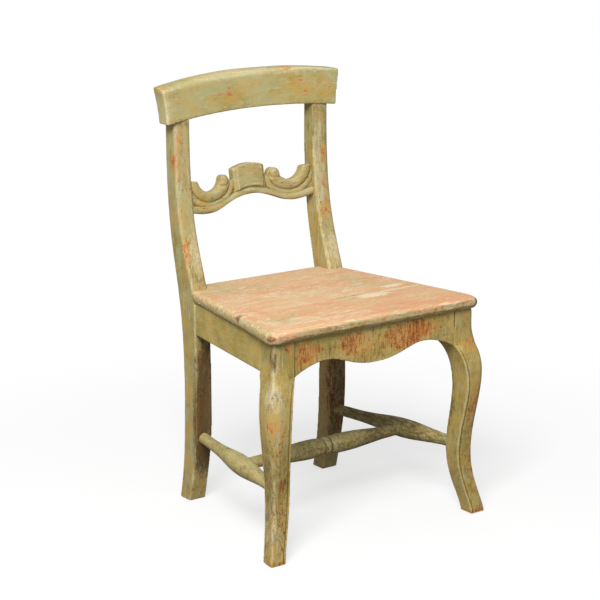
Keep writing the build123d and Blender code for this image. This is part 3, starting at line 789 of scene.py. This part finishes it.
def green_paint(
    name, ground, along, salmon=(), cream=(), dirt_and_shade=(), gold=(),
    streaks=None, bare=0.0, edges=1.0, clean=0.0, thin=0.75, filled=0.8, cool=0.3,
):
    """Old green paint. along is the axis of the brush, and streaks that of the wear.
    salmon, cream, dirt and gold are places where the under coat shows, the top coat is
    rubbed pale, dirt has settled and, in some places, shade is painted in, and the varnish
    has yellowed. bare adds salmon all over, edges is how far the arrises are rubbed pale
    and given a painted highlight, clean is how little dirt there is, thin is how pale the
    rubbed top coat gets, filled is how dark the hollows are with dirt and painted shade,
    and cool is how grey-green it is in patches."""
    paint = Paint(name)
    streaks = along if streaks is None else streaks
    broad = paint.clouds((9, 9, 9), 3.0)
    drift = paint.clouds((30, 30, 30), 5.0, (3, 1, 7), 0.62)
    mottle = paint.clouds((115, 115, 115), 4.0, (6, 2, 4), 0.65)
    strokes = paint.clouds(drawn_out(along, 14.0, 230.0), 5.0, (1, 2, 3), 0.65)
    scrapes = paint.clouds(drawn_out(streaks, 48.0, 260.0), 4.0, (8, 2, 5), 0.62, 0.3)
    flecks = paint.clouds((420, 420, 420), 3.0, (5, 5, 5), 0.75)
    tint = paint.clouds(drawn_out(along, 22.0, 52.0), 4.0, (2, 9, 4), 0.55)
    salmon_shows, dirt_and_shade_lie = paint.marks(salmon), paint.marks(dirt_and_shade)

    # The top coat: aged darker, yellowed, greyed and rubbed pale, and the rubbing is raised on
    # the arrises as a painted highlight.
    age = broad * 0.40 + drift * 0.35 + strokes * 0.45 + mottle * 0.10
    colour = paint.over(ground, OLIVE, age.between(0.55, 0.80) * 0.95)
    warm = tint * 0.6 + strokes * 0.2 + mottle * 0.2 + salmon_shows * 0.7 + paint.marks(gold)
    colour = paint.over(colour, GOLD, warm.between(0.50, 0.63) * 0.55)
    grey = 0.3 - tint * 0.6 + strokes * 0.2 + mottle * 0.2
    colour = paint.over(colour, LICHEN, grey.between(0.17, 0.31) * cool)
    # The arris term lays a painted highlight on the ridges, on top of their wear.
    pale = mottle * 0.35 + strokes * 0.60 + drift * 0.15 + paint.arris * 0.10 * edges
    pale = (pale + paint.marks(cream)).between(0.54, 0.76)
    colour = paint.over(colour, CREAM, pale * (0.25 + flecks * 1.2) * thin)

    # The under coat, where the top coat is worn through, orange where it is thick.
    worn = scrapes * 0.30 + mottle * 0.40 + drift * 0.30 + paint.arris * 0.04 * edges
    worn = worn + salmon_shows + bare
    under = worn.between(0.60, 0.74)
    colour = paint.over(colour, SALMON, under * (0.1 + flecks * 0.9))
    rust = (worn * 0.6 + scrapes * 0.2 + flecks * 0.35).between(0.66, 0.78)
    colour = paint.over(colour, ORANGE, rust * 0.8)

    # Dirt, chips down to the wood, and paint and dirt that lie thick in the hollows, with
    # painted shade laid in those hollows too.
    # The dirt places add real dirt and, on the parts under the seat, painted shade.
    soil = mottle * 0.25 + flecks * 0.35 + scrapes * 0.40 + drift * 0.20 + dirt_and_shade_lie
    colour = paint.glaze(colour, GRIME_AND_SHADE, (soil - clean).between(0.58, 0.82) * 0.8)
    wood = flecks * 0.60 + mottle * 0.25 + scrapes * 0.20 + dirt_and_shade_lie * 0.3
    wood = (wood - clean).between(0.61, 0.67)
    colour = paint.over(colour, WOOD, wood * 0.65)
    # Hollows darkened with olive and grime: partly real paint and dirt, partly painted shade in
    # the creases.
    hollow_dirt_and_shade = (-paint.arris).between(0.03, 0.60)
    colour = paint.over(colour, OLIVE, hollow_dirt_and_shade * filled)
    colour = paint.glaze(colour, GRIME_AND_SHADE, hollow_dirt_and_shade * filled * 0.8)

    height = strokes * 0.4 + mottle * 0.3 + flecks * 0.2 - under * 0.4 - wood * 0.6
    rough = 0.48 + strokes * 0.15 + under * 0.12
    return paint.dry(colour, rough, height, PAINT_DEPTH)


def seat_paint(name):
    """Green paint worn through to salmon by sitting, and left green round the rim."""
    paint = Paint(name)
    broad = paint.clouds((6, 11, 11), 3.0)
    drift = paint.clouds((14, 38, 38), 5.0, (2, 8, 1), 0.62)
    grain = paint.clouds((14, 320, 320), 5.0, (1, 2, 3), 0.68)
    scratch = paint.clouds((30, 200, 200), 5.0, (7, 5, 3), 0.65, 0.8)
    mottle = paint.clouds((110, 110, 110), 4.0, (6, 2, 4), 0.65)
    flecks = paint.clouds((420, 420, 420), 3.0, (4, 4, 4), 0.75)
    x, y, z = [
        paint.add("ShaderNodeSeparateXYZ", {}, {"Vector": paint.place}, axis)
        for axis in (X_AXIS, Y_AXIS, Z_AXIS)
    ]

    # Where the green is left: round the rim, down the edge and in patches.
    side = SEAT_HALF - y * SEAT_TAPER - abs(x)
    front = y - BOARD_FRONT + RIM_LOST
    inward = side.least(front) + drift * 0.030 + mottle * 0.018
    top = z.between(SEAT_TOP - 0.0070, SEAT_TOP - 0.0020)
    kept = 1.0 - inward.between(0.022, 0.042) * top
    kept = kept + paint.marks(GREEN_LEFT) * (drift * 2.4 + scratch - 1.0)
    kept = kept + (drift * 0.8 + scratch * 0.5).between(0.66, 0.78) * 0.6

    # The salmon coat, then the green that is left on it, then what lies under the rim.
    fade = broad * 0.45 + drift * 0.3 + grain * 0.45
    colour = paint.over(SEAT_PINK, SEAT_TAN, fade.between(0.50, 0.70))
    rust = (scratch * 0.45 + mottle * 0.55 + broad * 0.1).between(0.54, 0.68)
    colour = paint.over(colour, SEAT_RUST, rust * 0.8)
    age = (mottle * 0.6 + grain * 0.5).between(0.48, 0.70)
    green = paint.over(SEAT_GREEN, OLIVE, age)
    colour = paint.over(colour, green, kept.between(0.2, 0.8) * 0.85)
    rim = (1.0 - top) * (mottle * 0.7 + drift * 0.4).between(0.54, 0.64)
    colour = paint.over(colour, ORANGE, rim * 0.6)
    below = 1.0 - z.between(SEAT_TOP - 0.022, SEAT_TOP - 0.006)
    colour = paint.over(colour, OLIVE, below * (mottle * 2.0 - 0.3))

    # Scratches, dirt, chips down to the wood, and dirt in the hollows, with painted shade laid
    # there too.
    pale = scratch * 0.45 + grain * 0.20 + mottle * 0.25 + flecks * 0.20 + paint.arris * 0.03
    pale = pale + paint.marks(SCRATCHED_PALE) * (drift + mottle)
    colour = paint.over(colour, SEAT_PALE, pale.between(0.57, 0.65) * 0.85)
    soil = flecks * 0.5 + grain * 0.25 + mottle * 0.3
    soil = soil + paint.marks(SEAT_DIRT) * (mottle + 0.5)
    colour = paint.glaze(colour, SEAT_GRIME, soil.between(0.55, 0.72) * 0.75)
    wood = (flecks * 0.6 + grain * 0.35).between(0.55, 0.62)
    colour = paint.over(colour, WOOD, wood * 0.45)
    # Hollows darkened: dirt and painted shade.
    colour = paint.glaze(colour, GRIME_AND_SHADE, (-paint.arris).between(0.04, 0.5) * 0.9)

    height = grain * 0.5 + scratch * 0.3 + flecks * 0.2 - wood * 0.5
    return paint.dry(colour, 0.55 + grain * 0.2, height, PAINT_DEPTH)


def bare_wood(name):
    """Softwood that was never painted, brown with age."""
    paint = Paint(name)
    grain = paint.clouds((18, 220, 220), 5.0, (1, 2, 3), 0.6)
    broad = paint.clouds((12, 12, 12), 3.0)
    colour = paint.over(WOOD, AGED_WOOD, (grain * 0.7 + broad * 0.4).between(0.4, 0.72))
    return paint.dry(colour, 0.7 + grain * 0.1, grain, GRAIN_DEPTH)


# Places of wear, dirt, painted shade and painted highlight: the middle, the reach along each
# axis and the weight.

APRON_SALMON = [
    ((0.075, APRON_FACE, 0.392), (0.085, 0.03, 0.040), 0.14),
    ((0.120, APRON_FACE, 0.403), (0.060, 0.03, 0.026), 0.10),
    ((-0.045, APRON_FACE, 0.393), (0.060, 0.03, 0.034), 0.12),
    ((-0.165, APRON_FACE, 0.392), (0.050, 0.03, 0.040), 0.13),
    ((0.0, APRON_FACE, 0.385), (0.230, 0.03, 0.050), 0.05),
]
APRON_DIRT = [
    ((0.0, APRON_FACE, 0.390), (0.300, 0.03, 0.060), 0.04),
    ((-BLOCK_INNER, APRON_FACE, 0.388), (0.0016, 0.01, 0.060), 0.19),
    ((BLOCK_INNER, APRON_FACE, 0.402), (0.0016, 0.01, 0.036), 0.18),
]
CREST_SALMON = [
    ((0.145, 0.20, 0.824), (0.095, 0.05, 0.034), 0.14),
    ((-0.065, 0.20, 0.818), (0.080, 0.05, 0.026), 0.12),
    ((-0.218, 0.20, 0.850), (0.020, 0.05, 0.018), 0.16),
    ((0.090, 0.20, 0.866), (0.022, 0.06, 0.008), 0.16),
]
CREST_CREAM = [
    ((0.0, 0.20, 0.872), (0.26, 0.06, 0.030), 0.10),
    ((-0.212, 0.20, 0.800), (0.03, 0.06, 0.05), 0.08),
]
POST_SALMON = [
    ((-0.177, 0.195, 0.745), (0.012, 0.03, 0.024), 0.18),
    ((-0.186, 0.193, 0.695), (0.012, 0.03, 0.050), 0.13),
    ((-0.182, 0.160, 0.530), (0.012, 0.03, 0.055), 0.16),
    ((0.175, 0.190, 0.678), (0.012, 0.03, 0.036), 0.17),
    ((0.173, 0.182, 0.620), (0.014, 0.03, 0.030), 0.12),
    ((0.172, 0.170, 0.565), (0.018, 0.03, 0.034), 0.15),
    ((0.168, 0.195, 0.755), (0.012, 0.03, 0.020), 0.14),
    ((0.151, 0.150, 0.200), (0.008, 0.06, 0.180), 0.12),
    ((0.170, 0.130, 0.200), (0.030, 0.03, 0.200), 0.10),
]
POST_GOLD = [
    ((-0.1885, 0.160, 0.180), (0.036, 0.20, 0.360), 0.10),
    ((0.151, 0.160, 0.400), (0.020, 0.20, 0.400), 0.08),
    ((0.151, 0.150, 0.180), (0.006, 0.08, 0.300), 0.12),
]
POST_DIRT_AND_SHADE = [
    ((0.151, 0.19, 0.725), (0.004, 0.010, 0.016), 0.34),
    ((0.151, 0.19, 0.755), (0.004, 0.008, 0.008), 0.34),
    # Painted shade on the lower front faces of the rear posts, which lie in the seat's shadow.
    ((-0.165, 0.128, 0.160), (0.040, 0.026, 0.290), 0.28),
    ((0.170, 0.128, 0.180), (0.040, 0.030, 0.310), 0.17),
    ((-0.160, 0.140, 0.455), (0.050, 0.05, 0.040), 0.05),
    ((-0.170, 0.175, 0.774), (0.030, 0.05, 0.012), 0.12),
]
POST_CREAM = [
    ((-0.166, 0.158, 0.510), (0.016, 0.04, 0.080), 0.13),
    ((-0.165, 0.194, 0.690), (0.016, 0.03, 0.100), 0.03),
    ((0.172, 0.150, 0.485), (0.020, 0.04, 0.055), 0.15),
    ((0.165, 0.190, 0.660), (0.018, 0.03, 0.160), 0.14),
    ((-0.160, 0.140, 0.200), (0.014, 0.05, 0.120), 0.10),
]
LEG_SALMON = [
    ((-0.252, -0.235, 0.268), (0.020, 0.03, 0.020), 0.16),
    ((-0.236, -0.225, 0.250), (0.008, 0.03, 0.060), 0.16),
    ((-0.228, -0.220, 0.120), (0.010, 0.04, 0.120), 0.12),
    ((0.240, -0.230, 0.230), (0.030, 0.04, 0.080), 0.15),
    ((0.226, -0.217, 0.350), (0.030, 0.03, 0.025), 0.16),
    ((0.245, -0.225, 0.120), (0.020, 0.05, 0.080), 0.12),
    ((0.245, -0.225, 0.000), (0.040, 0.05, 0.012), 0.20),
    ((-0.245, -0.225, 0.000), (0.040, 0.05, 0.014), 0.20),
    ((-0.205, -0.217, 0.410), (0.012, 0.03, 0.030), 0.15),
]
LEG_CREAM_AND_HIGHLIGHT = [
    # Pale at the left knee: worn paint, and a painted highlight where the knee catches the
    # light.
    ((-0.247, -0.228, 0.325), (0.022, 0.03, 0.045), 0.16),
    ((-0.240, -0.217, 0.390), (0.016, 0.02, 0.040), 0.06),
    ((-0.240, -0.220, 0.210), (0.016, 0.05, 0.120), 0.05),
    ((-0.245, -0.220, 0.060), (0.024, 0.05, 0.080), 0.08),
    ((0.250, -0.225, 0.120), (0.016, 0.05, 0.100), 0.07),
]
LEG_DIRT = [
    ((-0.242, -0.217, 0.395), (0.014, 0.02, 0.034), 0.16),
    ((-0.250, -0.230, 0.330), (0.018, 0.02, 0.050), 0.07),
    ((-0.245, -0.225, 0.110), (0.050, 0.08, 0.180), 0.08),
    ((0.245, -0.225, 0.110), (0.050, 0.08, 0.160), 0.05),
    ((0.222, -0.180, 0.220), (0.026, 0.03, 0.180), 0.16),
    ((-BLOCK_INNER, APRON_FACE, 0.388), (0.0016, 0.01, 0.060), 0.19),
    ((BLOCK_INNER, APRON_FACE, 0.402), (0.0016, 0.01, 0.036), 0.18),
]
SPLAT_GOLD = [
    ((-0.130, 0.20, 0.620), (0.060, 0.05, 0.040), 0.12),
    ((0.040, 0.20, 0.630), (0.300, 0.10, 0.200), -0.035),
]
STRETCHER_DIRT_AND_SHADE = [
    # Painted shade over the right side stretcher, which lies in the seat's shadow.
    ((0.190, 0.0, 0.130), (0.160, 0.30, 0.10), 0.12),
    # Darker along the middle of the cross stretcher, most on its underside.
    ((0.0, -0.053, 0.125), (0.220, 0.04, 0.05), 0.10),
    ((-BEAD_GROOVE, -0.053, 0.138), (0.0024, 0.03, 0.03), 0.14),
    ((BEAD_GROOVE, -0.053, 0.138), (0.0024, 0.03, 0.03), 0.14),
]
GREEN_LEFT = [
    ((-0.120, 0.100, SEAT_TOP), (0.110, 0.09, 0.02), 0.8),
    ((-0.170, -0.150, SEAT_TOP), (0.060, 0.05, 0.02), 0.7),
    ((0.140, 0.020, SEAT_TOP), (0.060, 0.09, 0.02), 0.8),
    ((-0.228, BOARD_FRONT, SEAT_TOP - 0.008), (0.056, 0.02, 0.02), -1.5),
    ((0.120, BOARD_FRONT, SEAT_TOP - 0.010), (0.060, 0.02, 0.02), -0.7),
]
SCRATCHED_PALE = [
    ((0.085, BOARD_JOINT - 0.018, SEAT_TOP), (0.050, 0.020, 0.02), 0.15),
    ((0.150, BOARD_JOINT - 0.003, SEAT_TOP), (0.070, 0.007, 0.02), 0.15),
    ((0.165, BOARD_JOINT + 0.024, SEAT_TOP), (0.035, 0.014, 0.02), 0.15),
    ((-0.090, -0.185, SEAT_TOP), (0.160, 0.050, 0.02), 0.04),
    ((-0.205, -0.120, SEAT_TOP), (0.030, 0.120, 0.02), 0.04),
    ((0.0, 0.020, SEAT_TOP), (0.300, 0.180, 0.02), 0.03),
]
SEAT_DIRT = [
    ((0.030, BOARD_JOINT, SEAT_TOP), (0.080, 0.0025, 0.02), 0.15),
    ((-0.258, -0.226, SEAT_TOP - 0.009), (0.020, 0.018, 0.014), 0.24),
    ((0.250, -0.228, SEAT_TOP - 0.010), (0.022, 0.022, 0.014), 0.30),
    ((-0.235, -0.078, SEAT_TOP), (0.035, 0.016, 0.02), 0.16),
]

post_paint = green_paint(
    "upright_green", GREEN, Z_AXIS, POST_SALMON, POST_CREAM, POST_DIRT_AND_SHADE, POST_GOLD,
    bare=0.03, cool=0.65,
)
leg_paint = green_paint(
    "leg_green", FERN, Z_AXIS, LEG_SALMON, LEG_CREAM_AND_HIGHLIGHT, LEG_DIRT, bare=0.03, filled=0.5
)
apron_paint = green_paint(
    "apron_green", MOSS, X_AXIS, APRON_SALMON, dirt_and_shade=APRON_DIRT,
    streaks=Z_AXIS, bare=0.05, thin=0.35, cool=0.2,
)
crest_paint = green_paint(
    "crest_green", SAGE, X_AXIS, CREST_SALMON, CREST_CREAM, clean=0.05, cool=0.75
)
# The carving's ridges get a strong painted highlight, and its hollows painted shade, over their
# real wear.
splat_paint = green_paint(
    "splat_green", GREEN, X_AXIS, gold=SPLAT_GOLD, bare=0.02, edges=2.5, clean=0.01, cool=0.7
)
side_paint = green_paint("side_green", MOSS, Y_AXIS, clean=0.06, thin=0.35, cool=0.25)
turned_paint = green_paint(
    "stretcher_green", SAGE, Y_AXIS, dirt_and_shade=STRETCHER_DIRT_AND_SHADE, bare=0.03, cool=0.4
)
sat_on = seat_paint("seat_salmon")
inside = bare_wood("aged_wood")


# ---- The pieces -----------------------------------------------------------------------

BLOCK_REAR = (Y_AXIS, BLOCK_BACK)     # joints, as the axis that they face and their place
BLOCK_LEFT = (X_AXIS, -BLOCK_INNER)
BLOCK_RIGHT = (X_AXIS, BLOCK_INNER)
BOARDS_MEET = (Y_AXIS, BOARD_JOINT)
EACH_PIECE = {
    # node: (fineness, passes of rubbing, joints painted over, finish, slot)
    "rear_post_left": (0.0017, 5, [], post_paint, "green_paint"),
    "rear_post_right": (0.0017, 5, [], post_paint, "green_paint"),
    "front_leg_left": (0.0013, 5, [BLOCK_REAR, BLOCK_LEFT], leg_paint, "green_paint"),
    "front_leg_right": (0.0013, 5, [BLOCK_REAR, BLOCK_RIGHT], leg_paint, "green_paint"),
    "crest_rail": (0.0017, 6, [], crest_paint, "green_paint"),
    "carved_splat": (0.0013, 3, [], splat_paint, "green_paint"),
    "rear_apron": (0.0017, 4, [], apron_paint, "green_paint"),
    "front_apron": (0.0017, 4, [BLOCK_LEFT, BLOCK_RIGHT], apron_paint, "green_paint"),
    "side_apron_left": (0.0017, 4, [BLOCK_REAR], side_paint, "green_paint"),
    "side_apron_right": (0.0017, 4, [BLOCK_REAR], side_paint, "green_paint"),
    "seat_board_front": (0.0020, 4, [BOARDS_MEET], sat_on, "seat_paint"),
    "seat_board_rear": (0.0020, 4, [BOARDS_MEET], sat_on, "seat_paint"),
    "side_stretcher_left": (0.0016, 4, [], turned_paint, "green_paint"),
    "side_stretcher_right": (0.0016, 4, [], turned_paint, "green_paint"),
    "cross_stretcher": (0.0012, 2, [], turned_paint, "green_paint"),
}
PEGS_IN = {
    "rear_post_left": ("rear_post_pegs", "splat_pegs"),
    "rear_post_right": ("rear_post_pegs", "splat_pegs"),
    "front_leg_left": ("front_leg_pegs",),
    "front_leg_right": ("front_leg_pegs",),
    "crest_rail": ("crest_rail_pegs",),
    "seat_board_front": ("seat_pegs",),
    "seat_board_rear": ("seat_pegs",),
}
CARVED = {
    "carved_splat": carve_splat,
    "front_leg_left": shape_leg,
    "front_leg_right": shape_leg,
    "crest_rail": square_crest,
    "cross_stretcher": turn_bead,
    "seat_board_front": shape_front_board,
    "seat_board_rear": shape_rear_board,
}
QUIRKED = ("front_leg_left", "front_leg_right")
NOT_FILLED_OUT = ("carved_splat",)
PEGS = ("crest_rail_pegs", "splat_pegs", "front_leg_pegs", "rear_post_pegs", "seat_pegs")
KEPT_AS_SAWN = (
    "corner_block_front_left",
    "corner_block_front_right",
    "corner_block_rear_left",
    "corner_block_rear_right",
    "seat_joint_dowels",
)

for node, (fineness, passes, joints, finish, slot) in EACH_PIECE.items():
    piece = rough_out(node, fineness, PEGS_IN.get(node, ()))
    if node in CARVED:
        CARVED[node](piece)
    wear(piece, passes, joints, 0 if node in NOT_FILLED_OUT else FULLNESS)
    if node in QUIRKED:
        cut_quirk(piece)
    weather(piece)
    complete(piece, node, joints, finish)

for node in KEPT_AS_SAWN:
    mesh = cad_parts[node].data
    mesh.materials.clear()
    mesh.materials.append(inside)

for node in PEGS:
    sink_pegs(node, inside)


# ---- Floor, light and camera ----------------------------------------------------------

WHITE = (1, 1, 1, 1)
FLOOR_SIZE = 80.0
FLOOR_DROP = 0.0005                   # under the feet, clear of their faces
FLOOR_SHADED = 0.34                   # share of the floor's white that a shadow can take
FLOOR_BOUNCE = 0.26                   # of the light, from the floor back to the chair
SHADOW_REACH = 1.3                    # from the chair's middle, where the plain white starts
AIR_STRENGTH = 0.38
KEY_PLACE, KEY_AIM = Vector((-2.1, -1.95, 3.0)), Vector((0, 0, 0.45))
KEY_SIZE = 1.5
KEY_POWER = 158
CAMERA_PLACE = Vector((-2.1008, -2.8672, 1.3005))
CAMERA_AIM = Vector((-0.0503, -0.03675, 0.44268))
PICTURE_WIDTH = 600                   # in pixels
FOCAL_PIXELS = 1841.78


def grey(level):
    """A grey that gives back this share of the light."""
    return (level, level, level, 1)


def stand(name, what, place, aim):
    """Stands a lamp or a camera at its place, turned to its aim."""
    item = bpy.data.objects.new(name, what)
    bpy.context.scene.collection.objects.link(item)
    item.location = place
    item.rotation_euler = (aim - place).to_track_quat("-Z", "Y").to_euler()
    return item


bpy.ops.mesh.primitive_plane_add(size=FLOOR_SIZE, location=(0, 0, -FLOOR_DROP))
floor = bpy.context.object
floor.name = "floor"
white = Paint("studio_white")
shadowed = white.add("ShaderNodeBsdfDiffuse", {}, {"Color": grey(FLOOR_SHADED)})
glow = white.add("ShaderNodeEmission", {}, {"Color": WHITE, "Strength": 1 - FLOOR_SHADED})
under_chair = white.add("ShaderNodeAddShader", {}, {0: shadowed, 1: glow})
clear = white.add("ShaderNodeEmission", {}, {"Color": WHITE, "Strength": 1.0})
near_chair = white.near((0, 0, 0), (SHADOW_REACH, SHADOW_REACH, SHADOW_REACH))
seen = white.add("ShaderNodeMixShader", {}, {0: near_chair, 1: clear, 2: under_chair})
bounce = white.add("ShaderNodeBsdfDiffuse", {}, {"Color": grey(FLOOR_BOUNCE)})
to_camera = white.add("ShaderNodeLightPath", {}, {}, "Is Camera Ray")
white.end_with(white.add("ShaderNodeMixShader", {}, {0: to_camera, 1: bounce, 2: seen}))
floor.data.materials.append(white.material)

world = bpy.data.worlds.new("studio_air")
bpy.context.scene.world = world
air = Nodes(world)
lit = air.add("ShaderNodeBackground", {}, {"Color": WHITE, "Strength": AIR_STRENGTH})
seen = air.add("ShaderNodeBackground", {}, {"Color": WHITE, "Strength": 1.0})
to_camera = air.add("ShaderNodeLightPath", {}, {}, "Is Camera Ray")
choice = air.add("ShaderNodeMixShader", {}, {0: to_camera, 1: lit, 2: seen})
air.end_with(choice, "ShaderNodeOutputWorld")

key = bpy.data.lights.new("key_light", "AREA")
key.shape = "SQUARE"
key.size = KEY_SIZE
key.energy = KEY_POWER
stand("key_light", key, KEY_PLACE, KEY_AIM)

lens = bpy.data.cameras.new("camera")
lens.sensor_width = 36.0
lens.lens = FOCAL_PIXELS / PICTURE_WIDTH * lens.sensor_width
bpy.context.scene.camera = stand("camera", lens, CAMERA_PLACE, CAMERA_AIM)
bpy.context.scene.view_settings.view_transform = "Standard"
